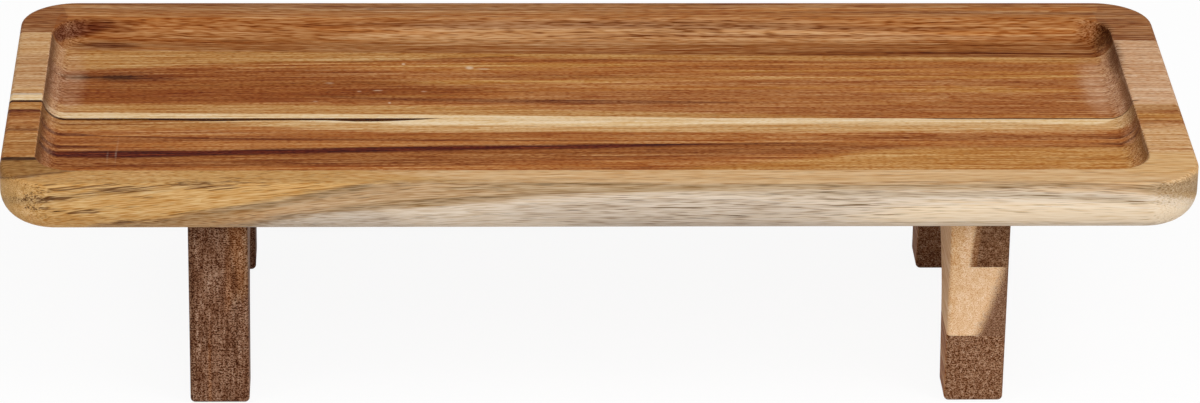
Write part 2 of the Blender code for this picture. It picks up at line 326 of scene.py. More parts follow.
def linear(name):
    """A tone's sRGB hex value as linear red, green, blue and alpha: below 0.04045 a value is divided by
    12.92, and above it 0.055 is added before dividing by 1.055 and raising to the power 2.4."""
    value = np.array([int(TONES[name][place:place + 2], 16) for place in (1, 3, 5)]) / 255
    value = np.where(value <= 0.04045, value / 12.92, ((value + 0.055) / 1.055) ** 2.4)
    return (*value.tolist(), 1.0)


def node(tree, kind, inputs=None, out=0, **settings):
    """Adds one node and gives one of its outputs: settings are its properties, and inputs are values or
    other nodes' outputs. A node that ends its tree has no outputs, and is given itself."""
    made = tree.nodes.new(kind)
    for key, value in settings.items():
        setattr(made, key, value)
    for key, value in (inputs or {}).items():
        if isinstance(value, bpy.types.NodeSocket):
            tree.links.new(value, made.inputs[key])
        else:
            made.inputs[key].default_value = value
    return made.outputs[out] if made.outputs else made


print(len(TONES), "tones; walnut in linear light is", [round(value, 3) for value in linear("walnut")])

# %% [markdown]
# ## Oiled acacia
# Wood is a solid, so its pattern is worked out from the place of a point in the piece, in
# millimetres along the grain, across it and up: it then runs on over rim, cove and face, as an image
# laid on each side would not. Streaks are noises, long with the grain and narrow across it, in four
# sizes. Straight streaks would look printed, so a slow noise pushes them sideways, and they follow
# the lie of the grain, a curve along the stave.

# %% Grain
Figure = collections.namedtuple("Figure", "grain sheet along across lie")
SEED_STEPS = (17.3, 29.7, 41.1)
SLOW, COARSE, MIDDLE = (150, 30), (220, 6), (130, 1.8)


class Grain:
    """Where a point lies in one wood, and the noises that follow its fibres there.
    The place is the object's own in millimetres, counted from zero, and pushed to and fro by a slow
    noise. run and rise are its dot products with the figure's two directions, and s and t are these as
    shares of the figure's spans."""

    def __init__(self, tree, figure, zero, seed, wander, fine, speck):
        self.tree, self.figure = tree, figure
        self.seeds = tuple(step * seed for step in SEED_STEPS)
        self.starts = np.array([figure.along[1], figure.across[1]])
        self.spans = np.array([figure.along[2], figure.across[2]]) - self.starts
        surface = node(tree, "ShaderNodeTexCoord").node.outputs
        self.normal = node(tree, "ShaderNodeSeparateXYZ", {0: surface["Normal"]}).node.outputs
        back = tuple(-value for value in zero)
        self.millimetres = node(tree, "ShaderNodeVectorMath",
                                {0: surface["Object"], 1: (1 / MM,) * 3, 2: back}, operation="MULTIPLY_ADD")
        slow = self.pattern(self.millimetres, SLOW, out="Color", Detail=2.0)
        drift = node(tree, "ShaderNodeVectorMath", {0: slow, 1: (2 * wander,) * 3, 2: (-wander,) * 3},
                     operation="MULTIPLY_ADD")
        drifted = node(tree, "ShaderNodeVectorMath", {0: self.millimetres, 1: drift})

        self.run, self.rise = (
            node(tree, "ShaderNodeVectorMath", {0: drifted, 1: direction}, operation="DOT_PRODUCT",
                 out="Value")
            for direction in (figure.along[0], figure.across[0]))
        self.s = node(tree, "ShaderNodeMapRange", {"Value": self.run, 1: figure.along[1],
                                                   2: figure.along[2]})
        self.t = node(tree, "ShaderNodeMapRange", {"Value": self.rise, 1: figure.across[1],
                                                   2: figure.across[2]}, clamp=False)
        shift = node(tree, "ShaderNodeMath", {0: self.line(figure.lie), 1: -self.spans[1],
                                              2: -self.starts[1]}, operation="MULTIPLY_ADD")
        shift = node(tree, "ShaderNodeVectorMath", {0: figure.across[0], "Scale": shift}, operation="SCALE")
        self.wood = node(tree, "ShaderNodeVectorMath", {0: drifted, 1: shift})

        # real wood has finer streaks than dust, too fine to show
        self.layers = {layer: self.pattern(self.wood, sizes, Detail=detail, Roughness=0.6)
                       for layer, sizes, detail in (("coarse", COARSE, 3), ("middle", MIDDLE, 2),
                                                    ("fine", fine, 1), ("dust", speck, 0))}
        self.ragged = self.sum_less("middle", "fine", 1.0)

    def pattern(self, spot, sizes, kind="ShaderNodeTexNoise", out="Fac", **looks):
        """A texture with the given sizes in millimetres along and across the grain; without a third size
        it is stretched by the figure's sheet in height, where the growth rings stand upright."""
        along, across, up = (*sizes, sizes[1] * self.figure.sheet)[:3]
        lengths = [across, across, up]
        lengths["XYZ".index(self.figure.grain)] = along
        scale = tuple(1 / length for length in lengths)
        spot = node(self.tree, "ShaderNodeVectorMath", {0: spot, 1: scale, 2: self.seeds},
                    operation="MULTIPLY_ADD")
        return node(self.tree, kind, {"Vector": spot, "Scale": 1.0, **looks}, out=out)

    def sum_less(self, first, second, level):
        """The sum of two layers, less a level."""
        both = node(self.tree, "ShaderNodeMath", {0: self.layers[first], 1: self.layers[second]})
        return node(self.tree, "ShaderNodeMath", {0: both, 1: level}, operation="SUBTRACT")

    def line(self, stations):
        """A smooth curve through stations (along, across), in shares of the figure's two spans."""
        curve = node(self.tree, "ShaderNodeFloatCurve", {"Value": self.s})
        mapping = curve.node.mapping
        points = mapping.curves[0].points
        for number, spot in enumerate((np.array(stations, float) - self.starts) / self.spans):
            if number < 2:
                points[number].location = spot
            else:
                points.new(*spot)
        for point in points:
            point.handle_type = "AUTO_CLAMPED"
        mapping.update()
        return curve


print("noise in mm along and across the grain: slow", SLOW, "coarse", COARSE, "middle", MIDDLE)

# %% [markdown]
# ### Bands
# A board shows the layers of the tree as bands that run along the grain, wander a little, lean, taper
# and fade. Each is drawn between two curves, over the bands before it. A layer of wood ends fibre by
# fibre and not on a clean line, so streaks push a band's soft edges to and fro.

# %% Bands
Band = collections.namedtuple("Band", "tone soft strength stations")


def banded(grain, colour, bands, feather):
    """The colour under its bands. A band lies between two curves through its stations (along, low,
    high), and its mask is the product of a smoothstep over each edge, as wide as twice its softness."""
    tree = grain.tree
    for band in bands:
        stations = np.array(band.stations, float)
        soft = band.soft / grain.spans[1]
        frayed = node(tree, "ShaderNodeMath", {0: grain.ragged, 1: feather * soft, 2: grain.t},
                      operation="MULTIPLY_ADD")
        masks = []
        for column, side, top in ((1, soft, band.strength), (2, -soft, 1.0)):
            inside = node(tree, "ShaderNodeMath", {0: frayed, 1: grain.line(stations[:, [0, column]])},
                          operation="SUBTRACT")
            masks.append(node(tree, "ShaderNodeMapRange", {"Value": inside, 1: -side, 2: side, 4: top},
                              interpolation_type="SMOOTHSTEP"))
        mask = node(tree, "ShaderNodeMath", {0: masks[0], 1: masks[1]}, operation="MULTIPLY")
        colour = node(tree, "ShaderNodeMix", {0: mask, 6: colour, 7: linear(band.tone)},
                      data_type="RGBA", out=2)
    return colour


print("a band has", ", ".join(Band._fields))

# %% [markdown]
# ### Streaks and growth lines
# Oil makes dark wood redder, not greyer. So streaks don't mix in a darker paint: they raise the colour
# to a power round 1, which deepens a tone as oil does. Growth lines are thin contours of a slow noise,
# and they come and go.

# %% Streaks
CONTOURS = 12.0


def deepened(grain, colour, streak, lines, dust, growth):
    """The power that the colour is raised to: 1, plus a layer's depth where the layer is low and less a
    share of it where it is high. A growth line is the start of each step of the noise times the
    contours, where its fraction is below 0.3."""
    tree, layers = grain.tree, grain.layers
    power = 1.0 - 0.2 * streak - 0.12 * (lines + dust)
    for layer, depth, plain, paler in (("middle", streak, 0.7, 0.6), ("fine", lines, 0.54, 0.15),
                                       ("dust", dust, 0.54, 0.15)):
        deeper = node(tree, "ShaderNodeMapRange", {"Value": layers[layer], 1: 0.3, 2: plain, 3: depth,
                                                   4: -paler * depth})
        power = node(tree, "ShaderNodeMath", {0: power, 1: deeper})

    depth, *sizes = growth
    rings = grain.pattern(grain.wood, sizes, Detail=1.5)
    rings = node(tree, "ShaderNodeMath", {0: rings, 1: CONTOURS}, operation="MULTIPLY")
    rings = node(tree, "ShaderNodeMath", {0: rings}, operation="FRACT")
    depth = node(tree, "ShaderNodeMapRange", {"Value": layers["middle"], 1: 0.4, 2: 0.6, 3: 0.0,
                                              4: 1.6 * depth})
    rings = node(tree, "ShaderNodeMapRange", {"Value": rings, 1: 0.0, 2: 0.3, 3: depth, 4: 0.0})
    power = node(tree, "ShaderNodeMath", {0: power, 1: rings})

    # the palest sapwood is calm: its streaks fade
    pale = node(tree, "ShaderNodeRGBToBW", {0: colour})
    pale = node(tree, "ShaderNodeMapRange", {"Value": pale, 1: 0.57, 2: 0.62, 3: 0.0, 4: 0.65})
    return node(tree, "ShaderNodeMix", {0: pale, 2: power, 3: 1.0})


print(CONTOURS, "growth lines for each unit of their noise")

# %% [markdown]
# ### The router's marks, and painted shade at the recess's ends
# Where the router cut across the fibres the wall of the recess is raw: paler and duller, with a speckle
# of torn fibres. The steep ends of the recess lie in shade, which is painted on as a darker colour; end
# grain elsewhere is only a little darker, as it drinks more oil. Both follow from which way the surface
# faces, so they need no mask drawn by hand: a wall isn't level, and end grain faces along the fibres.

# %% Router's marks
KEPT_EDGE, ROUTED_DEPTH = 10, 10.0
SPECKLE, LIFT = 0.3, 0.1


def routed_wall(grain, colour, power, end_grain_and_shade, dull, raw):
    """The colour and the power with the router's marks and the painted shade of the recess's ends on them,
    and where its wall is: inside a box round the recess, growing from 0 to 1 as the normal's height falls
    from 0.99 to 0.85. End grain is told by the size of the normal's part along the fibres."""
    tree, normal = grain.tree, grain.normal
    where = node(tree, "ShaderNodeSeparateXYZ", {0: grain.millimetres}).node.outputs
    inside = 1.0
    for axis, middle, reach in (("X", 0.0, HALF_LENGTH - KEPT_EDGE),
                                ("Y", HALF_DEPTH, HALF_DEPTH - KEPT_EDGE), ("Z", 0.0, ROUTED_DEPTH)):
        mask = node(tree, "ShaderNodeMath", {0: where[axis], 1: middle, 2: reach}, operation="COMPARE")
        inside = node(tree, "ShaderNodeMath", {0: mask, 1: inside}, operation="MULTIPLY")
    routed = node(tree, "ShaderNodeMapRange", {"Value": normal["Z"], 1: 0.99, 2: 0.85, 3: 0.0, 4: inside})
    tips = node(tree, "ShaderNodeMapRange", {"Value": grain.layers["dust"], 1: 0.3, 2: 0.6,
                                             3: 1 + SPECKLE - LIFT, 4: 1 - LIFT})
    calm = node(tree, "ShaderNodeMath", {0: routed, 1: dull}, operation="MULTIPLY")
    power = node(tree, "ShaderNodeMix", {0: calm, 2: power, 3: tips})

    facing = node(tree, "ShaderNodeMath", {0: normal[grain.figure.grain]}, operation="ABSOLUTE")
    torn = node(tree, "ShaderNodeMapRange", {"Value": facing, 1: 0.1, 2: 0.45, 3: 0.0, 4: raw})
    torn = node(tree, "ShaderNodeMath", {0: torn, 1: routed}, operation="MULTIPLY")
    colour = node(tree, "ShaderNodeMix", {0: torn, 6: colour, 7: linear("raw")}, data_type="RGBA", out=2)

    # painted shade on the steep walls at the recess's right and left ends; elsewhere end grain only drinks
    # more oil and is a little darker
    dark_wood_and_shade = node(tree, "ShaderNodeMapRange", {"Value": normal["X"], 1: -0.3, 2: 0.3, 3: end_grain_and_shade[1],
                                              4: end_grain_and_shade[0]})
    share = node(tree, "ShaderNodeMapRange", {"Value": inside, 3: 0.3, 4: 1.0})
    dark_wood_and_shade = node(tree, "ShaderNodeMath", {0: dark_wood_and_shade, 1: share}, operation="MULTIPLY")
    end_grain_and_shade_mask = node(tree, "ShaderNodeMapRange", {"Value": facing, 1: 0.6, 2: 0.97, 3: 0.0, 4: dark_wood_and_shade},
                interpolation_type="SMOOTHSTEP")
    colour = node(tree, "ShaderNodeMix", {0: end_grain_and_shade_mask, 6: colour, 7: linear("dark_wood_and_shade")}, data_type="RGBA", out=2)
    return colour, power, routed


print("the router stays", KEPT_EDGE, "mm or more off the board's edges")

# %% [markdown]
# ### Knots, flecks and dashes
# Knots, flecks and scuffs are soft ellipses with a ragged edge. Pores also gather in clouds of thin
# dashes. Drawing each dash would take hundreds of shapes: a broken patch, which shows only where two
# fine noises both dip, gives such a cloud in one.

# %% Patches
Patch = collections.namedtuple("Patch", "tone strength along across long wide turn rough broken",
                               defaults=(0.0, 0.6, 0.0))


def patched(grain, colour, patches):
    """The colour under its patches. A patch's mask falls by a smoothstep as the distance from its
    middle, in half sizes, goes from 0.2 to 1.1; noises are added to the distance."""
    tree = grain.tree
    grit = grain.sum_less("fine", "dust", 0.75)
    for patch in patches:
        spot = node(tree, "ShaderNodeCombineXYZ", {0: grain.run, 1: grain.rise})
        spot = node(tree, "ShaderNodeMapping", {
            "Vector": spot, "Location": (patch.along, patch.across, 0), "Rotation": (0, 0, patch.turn),
            "Scale": (patch.long, patch.wide, 1)}, vector_type="TEXTURE")
        away = node(tree, "ShaderNodeVectorMath", {0: spot}, operation="LENGTH", out="Value")
        for noise, share in ((grain.ragged, patch.rough), (grit, patch.broken)):
            away = node(tree, "ShaderNodeMath", {0: noise, 1: share, 2: away}, operation="MULTIPLY_ADD")
        mask = node(tree, "ShaderNodeMapRange", {"Value": away, 1: 1.1, 2: 0.2, 4: patch.strength},
                    interpolation_type="SMOOTHSTEP")
        colour = node(tree, "ShaderNodeMix", {0: mask, 6: colour, 7: linear(patch.tone)},
                      data_type="RGBA", out=2)
    return colour


print("a patch has", ", ".join(Patch._fields))

# %% [markdown]
# ### The finished wood
# Acacia has open pores, short dark dashes along the grain that the plane cuts through. The board is
# planed, sanded and rubbed with oil, which darkens the pores and leaves a soft, low sheen. The pores
# are the middles of a Voronoi pattern's cells, and they are sunk with bump: they are too fine for
# geometry.

# %% Wood
NOISE_LOW, NOISE_SPAN = 0.34, 0.32  # most of a noise lies here, so the base tones are spread over it
ROUGHNESS = 0.55


def acacia(name, figure, zero, base, bands=(), patches=(), seed=0.0, wander=0.7, feather=1.6,
           fine=(45, 0.6, 0.6), speck=(2.2, 0.35, 0.35), pore=(8, 0.7), streak=0.28, lines=0.5, dust=0.4,
           pores=0.35, growth=(0.28, 230, 14), end_grain_and_shade=(0.4, 0.4), dull=0.5, raw=0.5):
    """Oiled acacia: planed along the grain, with open pores that the oil leaves dark.
    fine, speck, pore and the last two of growth are sizes in millimetres; streak, lines, dust, pores and
    the first of growth are depths; the pair that darkens end grain is painted shade at the recess's right
    and left ends and oil in end grain elsewhere, and dull and raw are the router's. A pore scales the
    colour by 1 less its depth, where the distance to a cell's middle is under a bound that grows from
    0.12 to 0.4 as the streaks get deeper."""
    material = bpy.data.materials.new(name)
    material.use_nodes = True
    tree = material.node_tree
    tree.nodes.clear()
    grain = Grain(tree, figure, zero, seed, wander, fine, speck)

    # base colour: coarse streaks through the tones of the stave
    ramp = node(tree, "ShaderNodeValToRGB", {"Fac": grain.layers["coarse"]})
    stops = ramp.node.color_ramp.elements
    for stop, tone in enumerate(base):
        at = NOISE_LOW + NOISE_SPAN * stop / (len(base) - 1)
        if stop < 2:
            stops[stop].position = at
        else:
            stops.new(at)
        stops[stop].color = linear(tone)

    colour = banded(grain, ramp, bands, feather)
    power = deepened(grain, colour, streak, lines, dust, growth)
    colour, power, routed = routed_wall(grain, colour, power, end_grain_and_shade, dull, raw)
    colour = patched(grain, colour, patches)
    colour = node(tree, "ShaderNodeGamma", {"Color": colour, "Gamma": power})

    # pores crowd where the streaks are deep; they fade on pale wood and routed walls
    dashes = grain.pattern(grain.wood, pore, "ShaderNodeTexVoronoi", "Distance")
    crowd = node(tree, "ShaderNodeMapRange", {"Value": grain.layers["middle"], 1: 0.65, 2: 0.35, 3: 0.12,
                                              4: 0.4})
    dash = node(tree, "ShaderNodeMath", {0: crowd, 1: dashes}, operation="SUBTRACT")
    pale = node(tree, "ShaderNodeRGBToBW", {0: colour})
    depth = node(tree, "ShaderNodeMapRange", {"Value": pale, 1: 0.5, 2: 0.62, 3: 1 - pores, 4: 1.0})
    depth = node(tree, "ShaderNodeMath", {0: routed, 1: 0.8 * pores, 2: depth}, operation="MULTIPLY_ADD",
                 use_clamp=True)
    dash = node(tree, "ShaderNodeMapRange", {"Value": dash, 1: 0.0, 2: 0.15, 3: 1.0, 4: depth})
    colour = node(tree, "ShaderNodeVectorMath", {0: colour, "Scale": dash}, operation="SCALE")

    sheen = node(tree, "ShaderNodeMapRange", {"Value": grain.layers["fine"], 1: 0.3, 2: 0.7,
                                              3: ROUGHNESS - 0.06, 4: ROUGHNESS + 0.08})
    bump = node(tree, "ShaderNodeBump", {"Strength": 0.3, "Distance": 0.1 * MM, "Height": dash})
    shader = node(tree, "ShaderNodeBsdfPrincipled", {"Base Color": colour, "Roughness": sheen, "IOR": 1.47,
                                                     "Specular IOR Level": 0.03, "Normal": bump})
    node(tree, "ShaderNodeOutputMaterial", {"Surface": shader})
    return material


FROM_FRONT = (0.0, -HALF_DEPTH, DECK_TOP)
ALONG_TRAY = ((1, 0, 0), -HALF_LENGTH, HALF_LENGTH)
ACROSS_TRAY = ((0, 1, 0), 0, 2 * HALF_DEPTH)
print("figure is measured from the front edge and the rim: zero at", FROM_FRONT)

# %% [markdown]
# ### The four staves
# Each stave came from another board, so each has figure of its own: the rear one is plain brown,
# the next has a honey wedge and a cream edge, the third a cream band and a plum streak, and the
# front one goes from golden heartwood on the left to grey and ivory sapwood on the right. A band's
# stations give its place along the tray, its near edge and its far edge, all in millimetres. A band
# that opens within 5 mm of the recess's end belongs to the rim, where the saw met other layers.

# %% Rear stave
WOODS = {}
WOODS["rear_stave"] = acacia(
    "acacia, plain brown heartwood",
    Figure("X", 1.0, ALONG_TRAY, ACROSS_TRAY, [(-250, 6), (-60, 0), (250, -3)]), FROM_FRONT,
    ("walnut", "hazel", "hazel", "chestnut"), [
        Band("chestnut", 2.5, 0.6, [(-230, 178, 192), (-100, 181, 190), (20, 180, 192), (250, 180, 184)]),
        Band("umber", 1.2, 0.8, [(20, 160, 160), (60, 159, 161.5), (140, 157, 162.2), (250, 154, 160)]),
        Band("mahogany", 0.5, 0.85, [
            (60, 161.5, 161), (110, 161, 161.9), (215, 159.3, 160.4), (250, 158, 159)]),
        Band("russet", 2, 0.6, [(-80, 174, 173), (0, 172, 176), (200, 172.5, 177), (250, 172, 177)]),
        Band("umber", 1.2, 0.6, [
            (-200, 196, 200), (-120, 193, 196), (-60, 190.5, 192.5), (20, 189.5, 189)]),
        Band("mahogany", 0.9, 0.5, [(30, 188, 187), (120, 186, 188.5), (220, 185, 187.5), (250, 184, 187)]),
        Band("walnut", 2, 0.7, [(-250, 140, 200), (-237, 140, 200), (-230, 185, 184)]),
        Band("walnut", 2, 0.6, [(226, 185, 184), (232, 140, 200), (250, 140, 200)]),
        Band("biscuit", 1.5, 0.5, [
            (-120, 176, 175), (-60, 172.5, 181), (60, 172.5, 181), (140, 174.5, 177.7), (215, 176, 174)]),
        Band("mahogany", 0.6, 0.5, [
            (-130, 180.5, 180.2), (-70, 179.6, 180.8), (0, 179.2, 180.6), (60, 178.8, 180.2),
            (140, 178.6, 179.6), (205, 179, 178.8)]),
        Band("umber", 0.6, 0.7, [
            (-20, 177, 176.8), (30, 176.2, 177.3), (80, 176, 177.2), (150, 176.3, 177),
            (195, 176.5, 176.3)]),
        Band("walnut", 3, 0.5, [(40, 172, 160), (90, 163, 171), (230, 163, 171), (250, 163, 170)]),
        Band("olive", 1.5, 0.13, [
            (-250, 150, 200), (-238, 150, 200), (-233, 186, 200), (40, 187, 200), (100, 196, 194),
            (222, 196, 194), (232, 150, 200), (250, 150, 200)]),
        Band("plum", 1.3, 0.85, [
            (-235.5, 166, 166.4), (-234, 165.4, 171.4), (-232, 169.4, 174.8), (-230, 172, 177),
            (-226, 174.8, 179.6), (-222, 176.6, 181), (-217, 178, 181.2), (-212, 179.4, 181),
            (-207, 181, 180), (-202, 183, 179)]),
    ], [
        Patch("plum", 0.75, -212, 169.8, 19, 5, turn=-0.05, rough=0.35),
        Patch("mahogany", 0.5, -207, 179.5, 12, 2.4),
        # painted shade: these two patches darken the shaded steep wall in the recess's rear right corner
        Patch("umber", 0.7, 221, 170, 9, 10, rough=0.3),
        Patch("dark_wood_and_shade", 0.7, 227, 168, 5.5, 11, rough=0.3),
        Patch("ebony", 0.7, -97, 191.5, 3, 0.8),
        Patch("mahogany", 0.45, 50, 178, 210, 4, broken=5.0),
    ],
    seed=1, feather=1.0, speck=(6, 0.4, 0.4), end_grain_and_shade=(0.0, 0.9), raw=0.1, dull=0.3)
print("made", WOODS["rear_stave"].name)

# %% Middle rear stave
SCUFFS = [(0.8, -53, 144.5, 2.2, 2.4), (0.6, -47, 143, 4, 0.9), (0.7, -82, 148.5, 1, 1.4),
          (0.35, -114, 127, 2.5, 1.3), (0.6, -93, 119, 2.4, 0.8), (0.4, -101, 118, 1.2, 0.8),
          (0.35, -73, 118, 1.8, 0.8), (0.3, -120, 107, 1.4, 1), (0.6, -88, 105.5, 0.9, 1.3)]
WOODS["middle_rear_stave"] = acacia(
    "acacia, feathered heartwood with a honey edge",
    Figure("X", 1.0, ALONG_TRAY, ACROSS_TRAY, [(-250, -4), (-150, -2), (0, 0), (250, -3)]),
    FROM_FRONT, ("russet", "russet", "chestnut", "amber"), [
        Band("auburn", 7, 0.8, [
            (-250, 104, 143), (-200, 104, 144), (-150, 106, 145), (-110, 108, 140), (-70, 112, 128),
            (-20, 122, 112)]),
        Band("russet", 4, 0.6, [(-40, 104, 98), (0, 95, 110), (60, 93, 111), (250, 91, 112)]),
        Band("honey", 1.8, 0.9, [
            (-250, 140, 175), (-215, 142.5, 175), (-180, 147.5, 175), (-150, 149, 175), (-80, 153, 175),
            (-40, 156.5, 175), (0, 159.3, 175), (40, 163, 175)]),
        Band("umber", 0.5, 0.7, [
            (-140, 149.5, 149), (-100, 151.3, 152.1), (-60, 154.3, 155.1), (-20, 157.5, 158.2),
            (10, 159.5, 159)]),
        Band("honey", 2, 0.7, [
            (-45, 160, 150), (-20, 155, 175), (20, 153.5, 175), (80, 152.5, 175), (250, 149, 175)]),
        Band("honey", 1.5, 0.85, [
            (-250, 86, 103.5), (-150, 86, 103.5), (-80, 86, 102), (-20, 86, 98), (40, 86, 94.5),
            (100, 86, 90), (130, 86, 84)]),
        Band("mahogany", 1.2, 0.7, [
            (-130, 114.5, 113.5), (-100, 109.5, 112), (-60, 107.3, 110), (-30, 105.5, 109.5),
            (0, 104.5, 109), (40, 104.5, 107), (90, 105.5, 104.5)]),
        Band("walnut", 1.2, 0.6, [(-75, 134, 133), (-20, 132, 136), (20, 132.5, 135.5), (75, 134, 133)]),
        Band("umber", 0.8, 0.6, [
            (-115, 131, 130.5), (-95, 125.5, 127.5), (-85, 122.3, 123.3), (-60, 119.3, 120),
            (0, 115.6, 115)]),
        Band("biscuit", 1.5, 0.75, [(-250, 60, 175), (-237, 60, 175), (-235, 125, 120)]),
        Band("rose", 1.5, 0.9, [(229.5, 125, 120), (231, 60, 175), (250, 60, 175)]),
        Band("ash", 0.6, 0.8, [(-250, 80, 96.4), (-237, 80, 96.4), (-235, 80, 92)]),
        Band("cream", 0.6, 0.95, [
            (-250, 80, 94.6), (-225, 80, 95), (-180, 80, 94), (-100, 80, 92.8), (-40, 80, 91.5),
            (20, 80, 90), (80, 80, 87)]),
    ], [
        Patch("mahogany", 0.5, -203, 134, 34, 9, rough=0.4),
        Patch("mahogany", 0.8, -187, 132, 18, 2.4),
        Patch("ebony", 0.8, -223, 133.9, 11, 4, rough=0.4),
        Patch("ebony", 0.85, -206, 133.5, 14, 4.6, rough=0.4),
        Patch("amber", 0.5, -62, 127, 22, 3.5),
        Patch("raw", 0.4, -226, 128, 8, 50, rough=0.2),
        Patch("raw", 0.7, 220, 122, 10, 38, rough=0.3),
        # painted shade: this patch darkens the top of the recess's right end wall, near its arris
        Patch("dark_wood_and_shade", 0.5, 229.5, 142, 4, 24, rough=0.4),
        Patch("umber", 0.6, 227, 122, 6, 40, rough=0.3, broken=4.0),
        Patch("umber", 0.6, -232, 122, 6, 40, rough=0.3, broken=4.0),
        *(Patch("chalk", *scuff) for scuff in SCUFFS),
    ],
    seed=2, end_grain_and_shade=(0.65, 0.6), raw=0.6, dull=0.25, growth=(0.2, 230, 14))
print("made", WOODS["middle_rear_stave"].name)

# %% Middle front stave
WOODS["middle_front_stave"] = acacia(
    "acacia, red heartwood with a cream band and a plum streak",
    Figure("X", 1.0, ALONG_TRAY, ACROSS_TRAY, [(-250, -4), (-100, -1), (0, 0), (250, 1)]), FROM_FRONT,
    ("walnut", "russet", "chestnut", "chestnut"), [
        Band("honey", 2, 0.6, [(-250, 76, 95), (-200, 77, 95), (-150, 79, 95), (-90, 80, 95)]),
        Band("straw", 2.5, 0.9, [
            (-200, 92, 91), (-160, 84, 95), (-120, 77, 95), (-60, 74, 95), (0, 73.5, 95), (60, 73.5, 95),
            (140, 74, 95), (250, 75.5, 95)]),
        Band("chestnut", 2, 0.7, [
            (-140, 70, 69), (-100, 66.5, 73), (0, 66, 73), (60, 65, 73), (120, 69, 68)]),
        Band("mahogany", 0.8, 0.85, [
            (-238, 72, 71.8), (-235, 69.6, 73.2), (-222, 69.8, 72.8), (-208, 70, 69.8)]),
        Band("mahogany", 0.8, 0.85, [
            (-238, 58.2, 58), (-235, 56.4, 60.2), (-222, 56.8, 59.8), (-200, 58.4, 58)]),
        Band("umber", 0.7, 0.7, [
            (-236, 82.6, 82.4), (-226, 81.4, 83.6), (-205, 81.6, 83.2), (-180, 82.4, 82.2)]),
        Band("mahogany", 0.6, 0.8, [(208, 61, 60.8), (219, 59.8, 61.8), (229, 59.6, 62), (231, 61, 60.8)]),
        Band("mahogany", 0.5, 0.8, [
            (212, 66.8, 66.6), (220, 65.8, 67.4), (229, 65.6, 67.6), (231, 66.8, 66.6)]),
        Band("umber", 0.6, 0.7, [
            (210, 54.8, 54.6), (220, 53.8, 55.6), (230, 53.6, 55.8), (232, 54.8, 54.6)]),
        Band("mahogany", 0.6, 0.75, [
            (-250, 72, 73.2), (-225, 70.5, 71.5), (-180, 67.2, 68.6), (-140, 65.6, 67), (-100, 65, 66.2),
            (-50, 64.3, 65.2), (0, 64, 64.6), (50, 64.6, 64)]),
        Band("umber", 2.5, 0.55, [
            (-220, 35, 52), (-120, 39, 54), (-40, 44, 57), (40, 48, 60), (100, 54, 60), (150, 59, 56)]),
        Band("amber", 3.5, 0.8, [(0, 36, 28), (80, 24, 44), (140, 24, 57.5), (250, 24, 58)]),
        Band("walnut", 0.5, 0.7, [(95, 58.6, 58), (160, 57.3, 58.4), (250, 57, 58)]),
        Band("plum", 1.4, 1.0, [
            (-238, 50.4, 50), (-234, 48.6, 52.4), (-222, 47.4, 53.4), (-200, 46.8, 54),
            (-160, 49.5, 55.3), (-120, 51.2, 57), (-80, 53.4, 58.8), (-40, 55, 60.2), (0, 56.3, 61),
            (30, 58.5, 61.3), (60, 60, 61.7), (90, 60.7, 61.5), (130, 61.6, 60.6)]),
        Band("honey", 1.5, 0.6, [(-250, 20, 95), (-237, 20, 95), (-235, 60, 55)]),
        Band("mahogany", 0.8, 1, [(-250, 75.3, 79), (-237, 75.3, 79), (-235, 78, 76)]),
        Band("umber", 0.4, 1, [(-250, 59.4, 60.8), (-237, 59.6, 60.6), (-235, 60, 59)]),
        Band("mahogany", 0.8, 0.7, [(-250, 56, 58.5), (-237, 56, 58.5), (-235, 58, 56)]),
        Band("russet", 3, 0.7, [(-250, 62, 74), (-237, 62, 74), (-235, 70, 66)]),
        Band("ebony", 0.4, 0.9, [(-250, 20, 28.6), (-234, 20, 28.6), (-226, 20, 27)]),
        Band("biscuit", 2, 0.72, [(229.5, 45, 40), (231, 20, 63), (250, 20, 63)]),
        Band("russet", 0.6, 0.5, [(229.5, 37, 36), (231, 35.4, 36.8), (250, 35.4, 36.8)]),
        Band("hazel", 1.5, 0.65, [(229.5, 72, 70), (231, 63, 83.5), (250, 63, 83.5)]),
        Band("amber", 1, 0.8, [(229.5, 72, 71), (231, 68, 74), (250, 67, 73)]),
        Band("cream", 1.2, 0.92, [
            (-160, 93, 92), (-130, 87, 95), (-90, 82.5, 95), (-40, 80.5, 95), (0, 79.5, 95),
            (60, 81.5, 95), (120, 83, 95), (180, 83, 95), (206, 81, 95), (216, 82, 95), (222, 86, 95),
            (227, 92, 90)]),
        Band("rose", 0.8, 0.95, [(229, 90, 89), (231, 83.5, 95), (250, 83.5, 95)]),
        Band("ivory", 1.0, 0.3, [
            (-80, 89, 88), (0, 84.5, 95), (80, 84.5, 95), (150, 85, 95), (210, 89, 88)]),
        Band("dark_wood_and_shade", 0.3, 1.0, [
            (-250, 86.9, 92), (-236, 86.7, 92), (-225, 86.5, 92), (-185, 86.4, 92), (-165, 85.7, 92),
            (-145, 86.4, 92), (-118, 86.6, 92), (-98, 85.3, 92), (-84, 86, 92), (-62, 89, 88)]),
        Band("dark_wood_and_shade", 0.3, 0.9, [(130, 89, 88), (150, 87.5, 92), (231, 87.2, 92), (236, 89, 88)]),
    ], [
        Patch("chalk", 0.12, -203, 54, 0.6, 18),
        Patch("chalk", 0.08, -206.5, 48, 0.6, 10),
        Patch("umber", 0.6, 227, 50, 6, 34, rough=0.3, broken=4.0),
    ],
    seed=3, end_grain_and_shade=(0.6, 0.5), raw=0.2, dull=0.15)
print("made", WOODS["middle_front_stave"].name)

# %% [markdown]
# The front stave is seen on its rim and on its face. Its figure is measured round that edge: height
# below the rim, as a negative number, on the face, and a third of the depth on the rim. Flecks are
# clusters of brown pores in the heartwood, and dashes are the thin grey ones of the sapwood; each is
# given as its place along and across, its half length and its half width.

